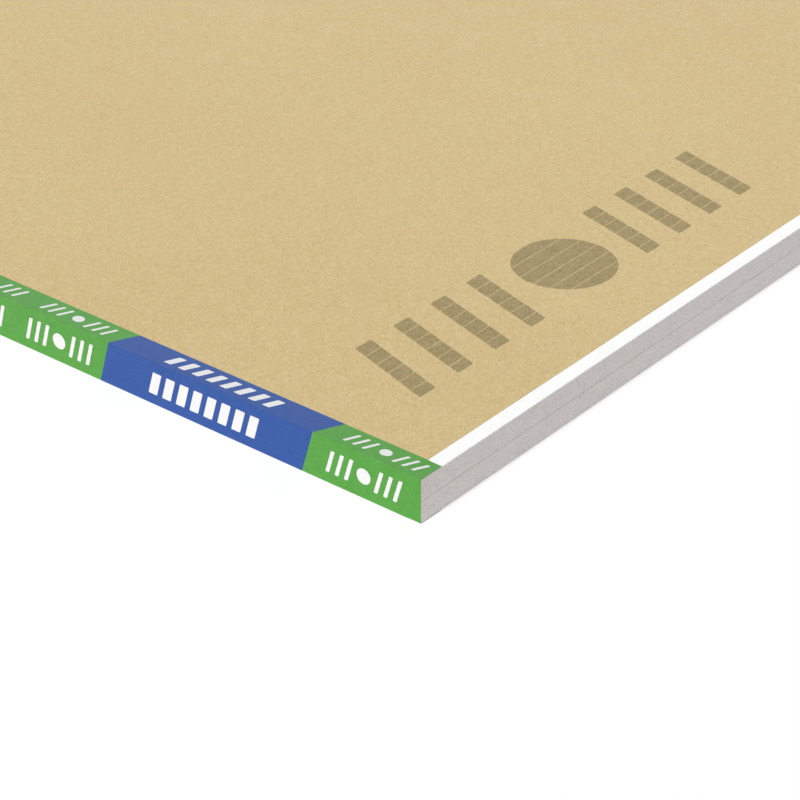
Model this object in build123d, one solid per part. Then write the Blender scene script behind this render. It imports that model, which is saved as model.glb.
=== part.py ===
from build123d import *
import os

# A pair of drywall sheets, bound face to face by a tape over each end.
#
# Each sheet is a gypsum core between two papers. The face paper lies under the core, folds
# round both long edges and laps on to the back, where the core is pressed down to take it.
# The back paper covers the rest of the back and overlaps the laps, so a strip of the face
# paper shows along each long edge. The papers are cut flush with the core at both ends.
#
# X runs along the sheets, Y across them and Z up. The origin is in the middle of the
# underside, at the height of the tapes, which are the lowest. Sizes are in millimetres.

# One sheet
SHEET_LENGTH = 2440.0
SHEET_WIDTH = 1220.0
SHEET_THICKNESS = 10.0

# The papers on its core
FACE_PAPER = 0.3
BACK_PAPER = 0.2
FOLD_RADIUS = 0.1  # of the core's long edges, where the face paper turns round them
LAP_WIDTH = 25.0  # from the long edge to the end of the face paper, on the back
BARE_LAP = 7.0  # the width of the lap that the back paper leaves uncovered

# The tape over each end of the pair
TAPE_WIDTH = 45.0
TAPE_THICKNESS = 0.1
TAPE_SLOPE = 3.0  # the length in which the tape comes down from the back paper to the lap

# Heights in one sheet that lies on its face
BACK_OF_CORE = SHEET_THICKNESS - BACK_PAPER
UNDER_LAP = BACK_OF_CORE - FACE_PAPER

# The pair
JOINT_HEIGHT = TAPE_THICKNESS + SHEET_THICKNESS
TAPE_FLAP = (TAPE_WIDTH - 2 * SHEET_THICKNESS) / 2


def layer_section(width, bottom, top, corner=0.0):
    """Cross-section of a layer between two heights, centred across the sheet."""
    height = top - bottom
    outline = RectangleRounded(width, height, corner) if corner else Rectangle(width, height)
    return Plane.YZ * Pos(0, bottom + height / 2) * outline


def along_sheet(section):
    """The section carried along the whole sheet."""
    return extrude(section, SHEET_LENGTH / 2, both=True)


def core_section():
    """The gypsum: its full width up to the laps, and its middle up to the back paper."""
    body = layer_section(SHEET_WIDTH - 2 * FACE_PAPER, FACE_PAPER, UNDER_LAP, FOLD_RADIUS)
    middle = layer_section(SHEET_WIDTH - 2 * LAP_WIDTH, FACE_PAPER, BACK_OF_CORE)
    return body + middle


def face_paper_section():
    """The paper round the core, open on the back between its two laps."""
    wrap = layer_section(SHEET_WIDTH, 0, BACK_OF_CORE, FOLD_RADIUS + FACE_PAPER)
    return wrap - core_section()


def back_paper_section():
    """The paper on the back, which stops short of the long edges."""
    return layer_section(SHEET_WIDTH - 2 * BARE_LAP, BACK_OF_CORE, SHEET_THICKNESS)


def pair_section(cover):
    """Outline that a tape follows round the pair's end, `cover` above and below the papers."""
    edge = SHEET_WIDTH / 2
    shoulder = edge - BARE_LAP
    lap = BACK_OF_CORE + cover
    back = SHEET_THICKNESS + cover
    top_right = [(edge, lap), (shoulder + TAPE_SLOPE, lap), (shoulder, back)]
    top_left = [(-across, height) for across, height in reversed(top_right)]
    underside = [(-across, -height) for across, height in top_right + top_left]
    return Plane.YZ * Polygon(*top_right, *top_left, *underside, align=None)


def end_tape():
    """The tape folded over the pair's end at x = 0, with the sheets on its +X side."""
    folded = extrude(pair_section(TAPE_THICKNESS), TAPE_FLAP + TAPE_THICKNESS)
    folded = Pos(-TAPE_THICKNESS, 0, 0) * folded
    end_face = folded.faces().sort_by(Axis.X)[0]
    folds = end_face.edges().filter_by(Axis.Z, reverse=True)
    folded = fillet(folds, TAPE_THICKNESS)
    return folded - extrude(pair_section(0), TAPE_FLAP)


core = along_sheet(core_section())
face_paper = along_sheet(face_paper_section())
back_paper = along_sheet(back_paper_section())
tape = end_tape()

# The upper sheet lies face down on the lower one, which is the same sheet turned over.
upper = Pos(0, 0, JOINT_HEIGHT)
lower = upper * Rot(180, 0, 0)
near_end = upper * Pos(-SHEET_LENGTH / 2, 0, 0)
far_end = upper * Rot(0, 0, 180) * Pos(-SHEET_LENGTH / 2, 0, 0)

parts = {
    "upper_core": upper * core,
    "upper_face_paper": upper * face_paper,
    "upper_back_paper": upper * back_paper,
    "lower_core": lower * core,
    "lower_face_paper": lower * face_paper,
    "lower_back_paper": lower * back_paper,
    "near_end_tape": near_end * tape,
    "far_end_tape": far_end * tape,
}

os.makedirs("parts", exist_ok=True)
for node, solid in parts.items():
    export_step(solid, f"parts/{node}.step")
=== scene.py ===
import math

import bmesh
import bpy
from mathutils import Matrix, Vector


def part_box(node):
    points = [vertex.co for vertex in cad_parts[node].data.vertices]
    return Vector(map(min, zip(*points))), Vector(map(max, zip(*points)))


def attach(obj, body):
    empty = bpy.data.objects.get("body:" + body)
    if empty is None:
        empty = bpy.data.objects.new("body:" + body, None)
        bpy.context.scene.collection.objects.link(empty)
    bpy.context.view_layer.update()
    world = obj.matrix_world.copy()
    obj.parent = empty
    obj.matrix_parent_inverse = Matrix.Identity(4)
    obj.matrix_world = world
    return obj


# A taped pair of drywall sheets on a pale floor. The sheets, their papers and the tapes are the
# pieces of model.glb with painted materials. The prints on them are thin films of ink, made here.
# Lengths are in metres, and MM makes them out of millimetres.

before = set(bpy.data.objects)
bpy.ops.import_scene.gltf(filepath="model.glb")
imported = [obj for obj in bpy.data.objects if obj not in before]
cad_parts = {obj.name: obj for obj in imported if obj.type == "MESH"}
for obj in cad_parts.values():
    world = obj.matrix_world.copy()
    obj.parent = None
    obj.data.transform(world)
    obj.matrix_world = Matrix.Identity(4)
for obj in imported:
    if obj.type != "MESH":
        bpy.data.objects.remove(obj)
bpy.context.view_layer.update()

MM = 0.001


# Sizes and places from the parts of model.glb

near_tape_low, near_tape_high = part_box("near_end_tape")
back_low, back_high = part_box("upper_back_paper")
face_low, face_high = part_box("upper_face_paper")

MIDDLE_HEIGHT = (near_tape_low.z + near_tape_high.z) / 2
HALF_PAIR = (near_tape_high.z - near_tape_low.z) / 2
END_WIDTH = near_tape_high.y - near_tape_low.y
FLAP = near_tape_high.x - near_tape_low.x
TAPE_THICKNESS = near_tape_high.z - back_high.z
SHOULDER = near_tape_high.y - back_high.y  # from the long edge to the back paper
LAP_DROP = back_high.z - face_high.z  # from the back paper to the bare lap beside it


# Nodes


def feed(tree, socket, value):
    """Link an output to a socket, or set the socket to a number, a vector or a colour."""
    if isinstance(value, bpy.types.NodeSocket):
        tree.links.new(value, socket)
    else:
        socket.default_value = value


def add_node(tree, kind, *values, **settings):
    """A new node. The values are fed to its sockets in order."""
    node = tree.nodes.new(kind)
    for name, setting in settings.items():
        setattr(node, name, setting)
    for socket, value in zip(node.inputs, values):
        feed(tree, socket, value)
    return node


def maths(tree, operation, *values):
    """What a node that works on numbers makes of the values."""
    return add_node(tree, "ShaderNodeMath", *values, operation=operation).outputs[0]


def vector_maths(tree, operation, *values):
    """What a node that works on vectors makes of the values."""
    return add_node(tree, "ShaderNodeVectorMath", *values, operation=operation).outputs[0]


def mix(tree, kind, share, one, other):
    """The one where the share is 0, and the other where it is 1."""
    either = add_node(tree, "ShaderNodeMix", data_type=kind)
    feed(tree, either.inputs["Factor"], share)
    feed(tree, either.inputs["A"], one)
    feed(tree, either.inputs["B"], other)
    return either.outputs["Result"]


def empty_tree(owner):
    """The node tree of a material or a world, with no nodes in it."""
    owner.use_nodes = True
    owner.node_tree.nodes.clear()
    return owner.node_tree


def show(tree, shader, output="ShaderNodeOutputMaterial"):
    """Make a shader the one that the tree puts out."""
    tree.links.new(shader.outputs[0], add_node(tree, output).inputs["Surface"])


# Layers of noise

# A layer is its grain, its amount and, where it doesn't run along X, its heading towards Y.
# A grain is the length of its features along X, Y and Z. In relief, the amount is a height.

MOTTLE_FALL = 0.56  # the share of a layer's amount that the next and coarser one has


def fibres(length, thickness):
    """A grain along X, from its sizes in millimetres."""
    return (length * MM, thickness * MM, thickness * MM)


def even(length):
    """A grain of one size in every direction."""
    return fibres(length, length)


def mottled(finest, coarsest):
    """Layers of noise, each twice as coarse as the one before and fainter."""
    count = 1 + round(math.log2(coarsest / finest))
    return [(even(finest * 2**i), MOTTLE_FALL**i) for i in range(count)]


FIBRES_ALONG = fibres(3.0, 0.35)
PAPER_GRAIN = fibres(1.8, 0.7)
PAPER_GRAIN_HEADING = math.radians(39)
PAPER_TONES = mottled(1.5, 24) + [
    (PAPER_GRAIN, 2.3, PAPER_GRAIN_HEADING),
    (FIBRES_ALONG, 0.25),
    (even(120), 0.39),
]
PAPER_RELIEF = [(even(0.4), 0.006 * MM), (FIBRES_ALONG, 0.006 * MM), (even(4), 0.01 * MM)]
SCUFFS = [(even(0.45), 1.0), (fibres(1.2, 0.3), 0.7), (even(1.2), 0.35), (even(5), 0.12)]
GYPSUM_TONES = mottled(0.8, 12.8)
GYPSUM_RELIEF = [(even(0.8), 0.05 * MM)]
TAPE_TONES = mottled(0.75, 24)
TAPE_RELIEF = [(even(0.7), 0.002 * MM), (even(10), 0.02 * MM)]
GLOSS_GRAIN = even(8)
GLOSS_SPREAD = 0.05  # how far the roughness goes up and down


def noise(tree, grain, heading=0.0):
    """Noise from about -1 to 1."""
    place = add_node(tree, "ShaderNodeTexCoord").outputs["Object"]
    turned = add_node(tree, "ShaderNodeVectorRotate", place, rotation_type="Z_AXIS")
    turned.inputs["Angle"].default_value = -heading
    scale = [1 / length for length in grain]
    texture = add_node(
        tree, "ShaderNodeTexNoise", vector_maths(tree, "MULTIPLY", turned.outputs[0], scale)
    )
    texture.inputs["Scale"].default_value = 1.0
    texture.inputs["Detail"].default_value = 0.0
    return maths(tree, "MULTIPLY_ADD", texture.outputs["Fac"], 2.0, -1.0)


def layered(tree, layers):
    """The sum of layers of noise."""
    total = 0.0
    for grain, amount, *heading in layers:
        total = maths(tree, "MULTIPLY_ADD", noise(tree, grain, *heading), amount, total)
    return total


# Materials

BACK_PAPER = (0.579, 0.444, 0.219)
FACE_PAPER = (0.928, 0.927, 0.923)
GYPSUM = (0.72, 0.71, 0.68)
GREEN = (0.0700, 0.289, 0.0365)
BLUE = (0.0120, 0.0665, 0.288)
WHITE = (0.73, 0.738, 0.742)
KHAKI = (0.3185, 0.2525, 0.123)

FACING_OUT = 1 * MM  # well under half the pair's height, so that the flaps count


def finish(name, colour, spread, tones, relief, roughness, shine):
    """A material. The tones times the spread are added to its colour, and relief raises it."""
    material = bpy.data.materials.new(name)
    tree = empty_tree(material)
    surface = add_node(tree, "ShaderNodeBsdfPrincipled")
    surface.inputs["Specular IOR Level"].default_value = shine

    tone = vector_maths(tree, "MULTIPLY_ADD", layered(tree, tones), spread, colour)
    tree.links.new(tone, surface.inputs["Base Color"])

    gloss = maths(tree, "MULTIPLY_ADD", noise(tree, GLOSS_GRAIN), GLOSS_SPREAD, roughness)
    tree.links.new(gloss, surface.inputs["Roughness"])

    bump = add_node(tree, "ShaderNodeBump")
    bump.inputs["Strength"].default_value = 1.0
    bump.inputs["Distance"].default_value = 1.0
    tree.links.new(layered(tree, relief), bump.inputs["Height"])
    tree.links.new(bump.outputs[0], surface.inputs["Normal"])

    show(tree, surface)
    return material


def paper(name, colour, spread, roughness, shine):
    """A finish with the grain of paper."""
    return finish(name, colour, spread, PAPER_TONES, PAPER_RELIEF, roughness, shine)


def tape_print(name, colour, spread):
    """A smooth finish, a little glossy."""
    return finish(name, colour, spread, TAPE_TONES, TAPE_RELIEF, roughness=0.3, shine=0.32)


def base_colour(material):
    """A material's nodes, the socket of its base colour and what feeds that socket."""
    tree = material.node_tree
    surface = next(node for node in tree.nodes if node.type == "BSDF_PRINCIPLED")
    colour = surface.inputs["Base Color"]
    return tree, colour, colour.links[0].from_socket


def facing_sideways(tree):
    """1 where the surface faces along Y, either way, and less as it turns from there."""
    facing = add_node(tree, "ShaderNodeTexCoord").outputs["Normal"]
    along_y = add_node(tree, "ShaderNodeSeparateXYZ", facing).outputs["Y"]
    return maths(tree, "ABSOLUTE", along_y)


def scuff_long_edges(material, spread):
    """Add more noise where the paper faces along Y, as it does on the long edges."""
    tree, colour, clean = base_colour(material)
    amount = maths(tree, "MULTIPLY", facing_sideways(tree), layered(tree, SCUFFS))
    tree.links.new(vector_maths(tree, "MULTIPLY_ADD", amount, spread, clean), colour)


def print_outside_only(material, bare):
    """Leave the tape bare where it doesn't face away from the pair: inside and at its cut edges."""
    tree, colour, printed = base_colour(material)
    coordinates = add_node(tree, "ShaderNodeTexCoord").outputs
    from_middle = vector_maths(
        tree, "MULTIPLY_ADD", coordinates["Object"], (1, 0, 1), (0, 0, -MIDDLE_HEIGHT)
    )
    outward = add_node(
        tree, "ShaderNodeVectorMath", coordinates["Normal"], from_middle, operation="DOT_PRODUCT"
    )
    outside = maths(tree, "GREATER_THAN", outward.outputs["Value"], FACING_OUT)
    tree.links.new(mix(tree, "VECTOR", outside, bare, printed), colour)


back_paper = paper("back_paper", BACK_PAPER, (0.030, 0.032, 0.023), roughness=0.5, shine=0.28)
face_paper = paper("face_paper", FACE_PAPER, (0.026, 0.024, 0.026), roughness=0.65, shine=0.45)
scuff_long_edges(face_paper, (0.16, 0.16, 0.16))
gypsum = finish(
    "gypsum", GYPSUM, (0.1, 0.1, 0.1), GYPSUM_TONES, GYPSUM_RELIEF, roughness=0.9, shine=0.2
)
khaki_ink = paper("khaki_ink", KHAKI, (0.033, 0.030, 0.021), roughness=0.75, shine=0.35)
green_ink = tape_print("green_ink", GREEN, (0.016, 0.030, 0.014))
print_outside_only(green_ink, WHITE)
blue_ink = tape_print("blue_ink", BLUE, (0.008, 0.012, 0.027))
white_ink = tape_print("white_ink", WHITE, (0.02, 0.02, 0.02))

painted_nodes = {
    gypsum: ("upper_core", "lower_core"),
    face_paper: ("upper_face_paper", "lower_face_paper"),
    back_paper: ("upper_back_paper", "lower_back_paper"),
    green_ink: ("near_end_tape", "far_end_tape"),
}
for material, nodes in painted_nodes.items():
    for node in nodes:
        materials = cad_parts[node].data.materials
        materials.clear()
        materials.append(material)


# Films of ink

# They are drawn flat. An outline's points are places along and across what carries the film.

ALONG, ACROSS = 0, 1
SUNK = 0.04 * MM  # how far a film's underside lies in what carries it
SAME_PLACE = 0.0001 * MM  # a cut this near a corner goes through it
CORNER_STEPS = 4
DISC_STEPS = 48


def rounded(corners, radius):
    """The outline with its corners turned into curves that start `radius` from them."""
    outline = []
    neighbours = zip(corners[-1:] + corners[:-1], corners, corners[1:] + corners[:1])
    for before, corner, after in neighbours:
        corner = Vector(corner)
        start = corner + (Vector(before) - corner).normalized() * radius
        end = corner + (Vector(after) - corner).normalized() * radius
        for step in range(CORNER_STEPS + 1):
            part = step / CORNER_STEPS
            outline.append(start.lerp(corner, part).lerp(corner.lerp(end, part), part))
    return outline


def disc(centre, radius_along, radius_across):
    """A disc, which is longer one way where its two radii differ."""
    along, across = centre
    turns = [2 * math.pi * step / DISC_STEPS for step in range(DISC_STEPS)]
    return [
        (along + radius_along * math.cos(turn), across + radius_across * math.sin(turn))
        for turn in turns
    ]


def bar(centre, width, height, lean, radius):
    """A leaning bar. Its top lies `lean` further along than its bottom."""
    along, across = centre
    corners = [
        (along + side * width / 2 + end * lean / 2, across + end * height / 2)
        for side, end in ((-1, -1), (1, -1), (1, 1), (-1, 1))
    ]
    return rounded(corners, radius)


def cut(flat, axis, place, drop_beyond=False):
    """Cut flat shapes along a line and, if asked, drop what lies beyond it."""
    on_line = Vector((0, 0, 0))
    on_line[axis] = place
    beyond = Vector((0, 0, 0))
    beyond[axis] = 1
    geometry = flat.verts[:] + flat.edges[:] + flat.faces[:]
    bmesh.ops.bisect_plane(
        flat,
        geom=geometry,
        dist=SAME_PLACE,
        plane_co=on_line,
        plane_no=beyond,
        clear_outer=drop_beyond,
    )


def take_out(flat, gaps):
    """Take strips out of flat shapes. A gap is the places across of its two sides."""
    for gap in gaps:
        for side in gap:
            cut(flat, ACROSS, side)
    lost = []
    for face in flat.faces:
        middle = face.calc_center_median().y
        if any(low < middle < high for low, high in gaps):
            lost.append(face)
    bmesh.ops.delete(flat, geom=lost, context="FACES")


def film(outlines, place, lift, cuts=(), gaps=(), stop=None):
    """Points and faces of thin solids over flat outlines, laid where `place` puts them.

    The cuts, each an axis and a place, let a film follow the bends of what carries it. The
    gaps are left out of the film, and so is what lies further along than its stop.
    """
    flat = bmesh.new()
    for outline in outlines:
        flat.faces.new([flat.verts.new((along, across, 0)) for along, across in outline])
    for axis, line in cuts:
        cut(flat, axis, line)
    take_out(flat, gaps)
    if stop is not None:
        cut(flat, ALONG, stop, drop_beyond=True)

    flat.verts.index_update()
    count = len(flat.verts)
    spots = [(vertex.co.x, vertex.co.y) for vertex in flat.verts]
    points = [place(*spot, lift) for spot in spots] + [place(*spot, -SUNK) for spot in spots]
    faces = []
    for face in flat.faces:
        top = [vertex.index for vertex in face.verts]
        faces.append(top)
        faces.append([index + count for index in reversed(top)])
    for edge in flat.edges:
        if edge.is_boundary:
            one, other = (vertex.index for vertex in edge.verts)
            faces.append([one, other, other + count, one + count])
    flat.free()
    return points, faces


def add_object(name, data):
    """An object in the scene that shows the data."""
    made = bpy.data.objects.new(name, data)
    bpy.context.scene.collection.objects.link(made)
    return made


def add_piece(name, points, faces, material):
    """A closed mesh that rides with the pair."""
    mesh = bpy.data.meshes.new(name)
    mesh.from_pydata(points, [], faces)
    shape = bmesh.new()
    shape.from_mesh(mesh)
    bmesh.ops.recalc_face_normals(shape, faces=shape.faces)
    shape.to_mesh(mesh)
    shape.free()
    mesh.materials.append(material)
    piece = add_object(name, mesh)
    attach(piece, "root")


# The tapes' print, from the near corner along the end and up from the middle of the end face

TAPE_SLOPE = 3.0 * MM  # the length in which the tape comes down to the lap
MARGIN = 0.01 * MM  # between a film's edge and the tape's

PANEL_WIDTH = 111.2 * MM
PANEL_LIFT = 0.02 * MM
FACE_LEAN = 6.0 * MM  # how far a panel's side moves over each face of the tape
PATTERN_START = 54.2 * MM
PATTERN_LENGTH = 268.0 * MM
PATTERN_COUNT = math.ceil((END_WIDTH - PATTERN_START) / PATTERN_LENGTH)

MARK_LIFT = 0.04 * MM
MARK_HEIGHT = 10.4 * MM
MARK_LEAN = -3.1 * MM
MARK_CORNER = 0.5 * MM

BAR_COUNT = 8
BAR_WIDTH = 4.75 * MM
BAR_PITCH = 7.63 * MM

EMBLEM_DISC = 3.5 * MM  # its radius
EMBLEM_BARS = 3  # on each side of the disc
EMBLEM_BAR_WIDTH = 1.9 * MM
EMBLEM_FIRST = 7.5 * MM  # from the disc's middle to the first bar's
EMBLEM_PITCH = 4.75 * MM

# Each emblem's place, from the start of a panel, and its size
EMBLEMS = [(-25.75 * MM, 1.0), (140.95 * MM, 1.05), (193.85 * MM, 1.05)]

# The marks stand in a row on the end face and in a row on each flap, where they are smaller.
# A row is its level, the shares of its marks' height and width, and how far it moves them along.
FLAP_ROW = HALF_PAIR + 6.4 * MM
FLAP_MARKS = (0.635, 0.8)
MARK_ROWS = [
    (0.0, 1.0, 1.0, 0.0),
    (FLAP_ROW, *FLAP_MARKS, -FACE_LEAN),
    (-FLAP_ROW, *FLAP_MARKS, FACE_LEAN),
]

FOLD_CUTS = [
    (ACROSS, side * (HALF_PAIR + TAPE_THICKNESS * part))
    for side in (-1, 1)
    for part in (-1, -0.5, 0, 0.5, 1)
]
STEP_CUTS = [
    (ALONG, SHOULDER - TAPE_SLOPE),
    (ALONG, SHOULDER),
    (ALONG, END_WIDTH - SHOULDER),
    (ALONG, END_WIDTH - SHOULDER + TAPE_SLOPE),
]
TAPE_CUTS = FOLD_CUTS + STEP_CUTS


def half_height(along):
    """From the middle of the end face to the tape's upper face, which steps down over the laps."""
    from_edge = min(along, END_WIDTH - along)
    past = min(max((SHOULDER - from_edge) / TAPE_SLOPE, 0.0), 1.0)
    return HALF_PAIR - LAP_DROP * past


def on_near_tape(along, across, lift):
    """A point `lift` over the near tape's outer face."""
    bend = TAPE_THICKNESS
    height = half_height(along)
    past_fold = abs(across) - HALF_PAIR
    if past_fold <= -bend:
        inward = -lift
        upward = abs(across) * (height - bend) / (HALF_PAIR - bend)
    elif past_fold < bend:
        turn = (past_fold / bend + 1) * math.pi / 4
        inward = bend - (bend + lift) * math.cos(turn)
        upward = height - bend + (bend + lift) * math.sin(turn)
    else:
        inward = past_fold
        upward = height + lift
    return (
        near_tape_low.x + inward,
        near_tape_low.y + along,
        MIDDLE_HEIGHT + math.copysign(upward, across),
    )


def on_far_tape(along, across, lift):
    """The same place on the far tape, which is the near one turned half round."""
    x, y, z = on_near_tape(along, across, lift)
    return (-x, -y, z)


def panel(start):
    """A blue panel's outline, whose sides lean from one flap to the other."""
    levels = [HALF_PAIR + FLAP - MARGIN, HALF_PAIR, -HALF_PAIR, -HALF_PAIR - FLAP + MARGIN]
    left = [(start + FACE_LEAN * step, level) for step, level in zip((-1, 0, 1, 2), levels)]
    right = [(along + PANEL_WIDTH, level) for along, level in left]
    return left + right[::-1]


def bars_on_panel(middle):
    """A row of bars. A mark is its place along, its width and its size."""
    return [
        (middle + (i - (BAR_COUNT - 1) / 2) * BAR_PITCH, BAR_WIDTH, 1.0) for i in range(BAR_COUNT)
    ]


def emblem(middle, size):
    """A disc, which is a mark without a width, between two sets of bars."""
    marks = [(middle, None, size)]
    for side in (-1, 1):
        for i in range(EMBLEM_BARS):
            away = size * (EMBLEM_FIRST + i * EMBLEM_PITCH)
            marks.append((middle + side * away, size * EMBLEM_BAR_WIDTH, size))
    return marks


def pattern_marks(start):
    """The marks that go with the panel that starts there."""
    marks = bars_on_panel(start + (PANEL_WIDTH + FACE_LEAN) / 2)
    for place, size in EMBLEMS:
        marks += emblem(start + place, size)
    return marks


def mark_outline(mark, row):
    """A mark's outline in one of the rows."""
    along, width, size = mark
    level, tall, wide, shift = row
    centre = (along + shift, level)
    if width is None:
        return disc(centre, size * EMBLEM_DISC * wide, size * EMBLEM_DISC * tall)
    return bar(centre, width * wide, size * MARK_HEIGHT * tall, size * MARK_LEAN, MARK_CORNER)


def is_on_tape(outline):
    """Whether a mark's outline keeps clear of both ends of the tape."""
    places = [along for along, across in outline]
    return min(places) > MARGIN and max(places) < END_WIDTH - MARGIN


starts = [PATTERN_START + i * PATTERN_LENGTH for i in range(PATTERN_COUNT)]
panels = [panel(start) for start in starts]
marks = [mark for start in starts for mark in pattern_marks(start)]
outlines = [mark_outline(mark, row) for mark in marks for row in MARK_ROWS]
whole_marks = [outline for outline in outlines if is_on_tape(outline)]

for end, place in (("near", on_near_tape), ("far", on_far_tape)):
    points, faces = film(panels, place, PANEL_LIFT, TAPE_CUTS, stop=END_WIDTH - MARGIN)
    add_piece(f"{end}_tape_panels", points, faces, blue_ink)
    points, faces = film(whole_marks, place, MARK_LIFT, TAPE_CUTS)
    add_piece(f"{end}_tape_marks", points, faces, white_ink)


# The print on the upper back paper, from the near corner along the sheet and across it

PRINT_CENTRE = (175.0 * MM, 61.0 * MM)
PRINT_LIFT = 0.03 * MM
PRINT_DISC = 23.5 * MM  # its radius
PRINT_BARS = 4  # on each side of the disc
PRINT_BAR = (10.0 * MM, 45.0 * MM)  # width and height
PRINT_LEAN = 13.4 * MM
PRINT_CORNER = 1.0 * MM
PRINT_FIRST = 42.5 * MM  # from the disc's middle to the first bar's
PRINT_PITCH = 24.6 * MM

LINE_COUNT = 7
LINE_START = 36.8 * MM
LINE_PITCH = 7.88 * MM
LINE_WIDTH = 0.42 * MM


def on_back(along, across, lift):
    """A point `lift` over the upper back paper."""
    return (back_low.x + along, face_low.y + across, back_high.z + lift)


def print_shapes():
    """A disc between two sets of leaning bars."""
    middle, level = PRINT_CENTRE
    shapes = [disc(PRINT_CENTRE, PRINT_DISC, PRINT_DISC)]
    for side in (-1, 1):
        for i in range(PRINT_BARS):
            along = middle + side * (PRINT_FIRST + i * PRINT_PITCH)
            shapes.append(bar((along, level), *PRINT_BAR, PRINT_LEAN, PRINT_CORNER))
    return shapes


def bare_lines():
    """The fine lines through the print where the paper shows, each by its two sides."""
    lines = [LINE_START + i * LINE_PITCH for i in range(LINE_COUNT)]
    return [(line - LINE_WIDTH / 2, line + LINE_WIDTH / 2) for line in lines]


points, faces = film(print_shapes(), on_back, PRINT_LIFT, gaps=bare_lines())
add_piece("back_print", points, faces, khaki_ink)


# Floor, light and camera

# A heading is an angle from +X towards +Y.

FLOOR_REACH = 40.0  # from the middle to each side
FLOOR_SEEN = (0.95, 0.95, 0.95, 1)
FLOOR_BOUNCE = (0.75, 0.69, 0.66, 1)
FLOOR_GLOW = 0.5  # the share of what is seen of the floor that no shadow reaches
PURE_WHITE = (1, 1, 1, 1)
SKY_STRENGTH = 0.2

SUN_ON_TOP = 0.85  # what the sun gives a level surface, where 1 shows a colour as it is written
SUN_ELEVATION = math.radians(46)
SUN_HEADING = math.radians(180)
SUN_SOFTNESS = math.radians(14)

# The far light is faint and low, and gives the tan paper its sheen.
FAR_LIGHT = 0.12
FAR_LIGHT_ELEVATION = math.radians(8)
FAR_LIGHT_HEADING = math.radians(36)
FAR_LIGHT_SOFTNESS = math.radians(25)

CAMERA_OFFSET = Vector((-0.65119, -0.52152, 0.53420))  # from the upper sheet's near corner
CAMERA_HEADING = math.radians(39.238)
CAMERA_PITCH = math.radians(30.880)  # down
CAMERA_LENS = 117.98
CAMERA_CLIP = 0.01
SENSOR_WIDTH = 36.0


def seen_rays(tree):
    """1 for the rays that show the background and 0 for those that only carry light."""
    rays = add_node(tree, "ShaderNodeLightPath").outputs
    either = maths(tree, "MAXIMUM", rays["Is Camera Ray"], rays["Is Glossy Ray"])
    return maths(tree, "MAXIMUM", either, rays["Is Transmission Ray"])


def floor_material():
    """White where it is seen, with part of that from a glow of its own."""
    material = bpy.data.materials.new("floor")
    tree = empty_tree(material)
    seen = seen_rays(tree)
    colour = mix(tree, "RGBA", seen, FLOOR_BOUNCE, FLOOR_SEEN)
    lit = add_node(tree, "ShaderNodeBsdfDiffuse", colour)
    glow = add_node(tree, "ShaderNodeEmission", PURE_WHITE, 1.0)
    share = maths(tree, "MULTIPLY", seen, FLOOR_GLOW)
    show(tree, add_node(tree, "ShaderNodeMixShader", share, lit.outputs[0], glow.outputs[0]))
    return material


def add_floor():
    """A level floor at the height of the origin."""
    far = FLOOR_REACH
    corners = [(-far, -far, 0), (far, -far, 0), (far, far, 0), (-far, far, 0)]
    mesh = bpy.data.meshes.new("floor")
    mesh.from_pydata(corners, [], [(0, 1, 2, 3)])
    mesh.materials.append(floor_material())
    add_object("floor", mesh)


def add_sky():
    """A weak white sky, which shows at full strength."""
    world = bpy.data.worlds.new("sky")
    bpy.context.scene.world = world
    tree = empty_tree(world)
    seen = seen_rays(tree)
    strength = maths(tree, "MULTIPLY_ADD", seen, 1 - SKY_STRENGTH, SKY_STRENGTH)
    sky = add_node(tree, "ShaderNodeBackground", PURE_WHITE, strength)
    show(tree, sky, "ShaderNodeOutputWorld")


def add_sun(name, energy, elevation, heading, softness):
    """A soft sun that stands at an elevation and a heading."""
    sun = bpy.data.lights.new(name, "SUN")
    sun.energy = energy
    sun.angle = softness
    lamp = add_object(name, sun)
    lamp.rotation_euler = (math.pi / 2 - elevation, 0, heading + math.pi / 2)


def add_camera():
    """The camera at the photograph's viewing angle."""
    data = bpy.data.cameras.new("camera")
    data.lens = CAMERA_LENS
    data.sensor_width = SENSOR_WIDTH
    data.clip_start = CAMERA_CLIP
    camera = add_object("camera", data)
    camera.location = Vector((near_tape_low.x, face_low.y, face_high.z)) + CAMERA_OFFSET
    camera.rotation_euler = (math.pi / 2 - CAMERA_PITCH, 0, CAMERA_HEADING - math.pi / 2)
    bpy.context.scene.camera = camera


add_floor()
add_sky()
sun_energy = SUN_ON_TOP * math.pi / math.sin(SUN_ELEVATION)
add_sun("sun", sun_energy, SUN_ELEVATION, SUN_HEADING, SUN_SOFTNESS)
add_sun("far_light", FAR_LIGHT, FAR_LIGHT_ELEVATION, FAR_LIGHT_HEADING, FAR_LIGHT_SOFTNESS)
add_camera()
bpy.context.scene.view_settings.view_transform = "Standard"
